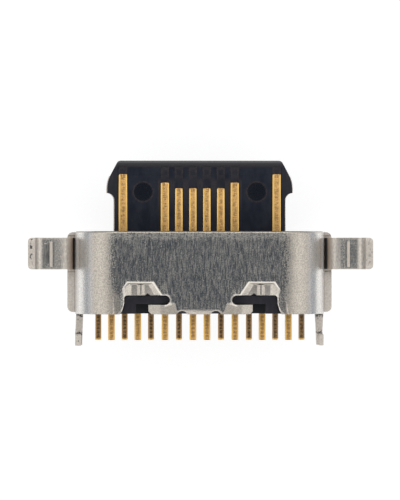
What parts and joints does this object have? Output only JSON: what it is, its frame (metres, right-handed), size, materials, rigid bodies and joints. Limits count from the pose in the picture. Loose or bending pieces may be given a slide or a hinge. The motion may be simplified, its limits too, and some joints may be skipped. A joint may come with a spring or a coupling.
{
  "type": "charging port",
  "caption": "Reversible charging port for a phone: a thin contact tongue in a drawn steel shell, with solder tails behind and a folded bracket with two board wings.",
  "frame": {"origin": "middle of the bounding box at the rest face, which is the flat outer face of the bracket", "axes": "+X to the right seen from the board side with the tongue up, +Y out of the mouth along the tongue, +Z away from the rest face, towards the board side"},
  "size_m": [0.0122, 0.0066, 0.0034],
  "materials": {
    "stainless_steel": "brushed with a light satin, bright at the bends",
    "black_plastic": "matte moulded glass filled plastic",
    "gold_plating": "thin gold plating with a fine textured middle"
  },
  "bodies": {
    "root": {"front_shell": "stainless_steel", "outer_bracket": "stainless_steel", "stiffener_plate": "stainless_steel", "upper_ground_pad": "stainless_steel", "lower_ground_pad": "stainless_steel", "insulator_body": "black_plastic", "upper_carrier": "black_plastic", "lower_carrier": "black_plastic", "upper_ground_left": "gold_plating", "upper_power_left": "gold_plating", "upper_signal_1": "gold_plating", "upper_signal_2": "gold_plating", "upper_signal_3": "gold_plating", "upper_signal_4": "gold_plating", "upper_power_right": "gold_plating", "upper_ground_right": "gold_plating", "lower_ground_left": "gold_plating", "lower_power_left": "gold_plating", "lower_signal_1": "gold_plating", "lower_signal_2": "gold_plating", "lower_signal_3": "gold_plating", "lower_signal_4": "gold_plating", "lower_power_right": "gold_plating", "lower_ground_right": "gold_plating"}
  },
  "joints": []
}
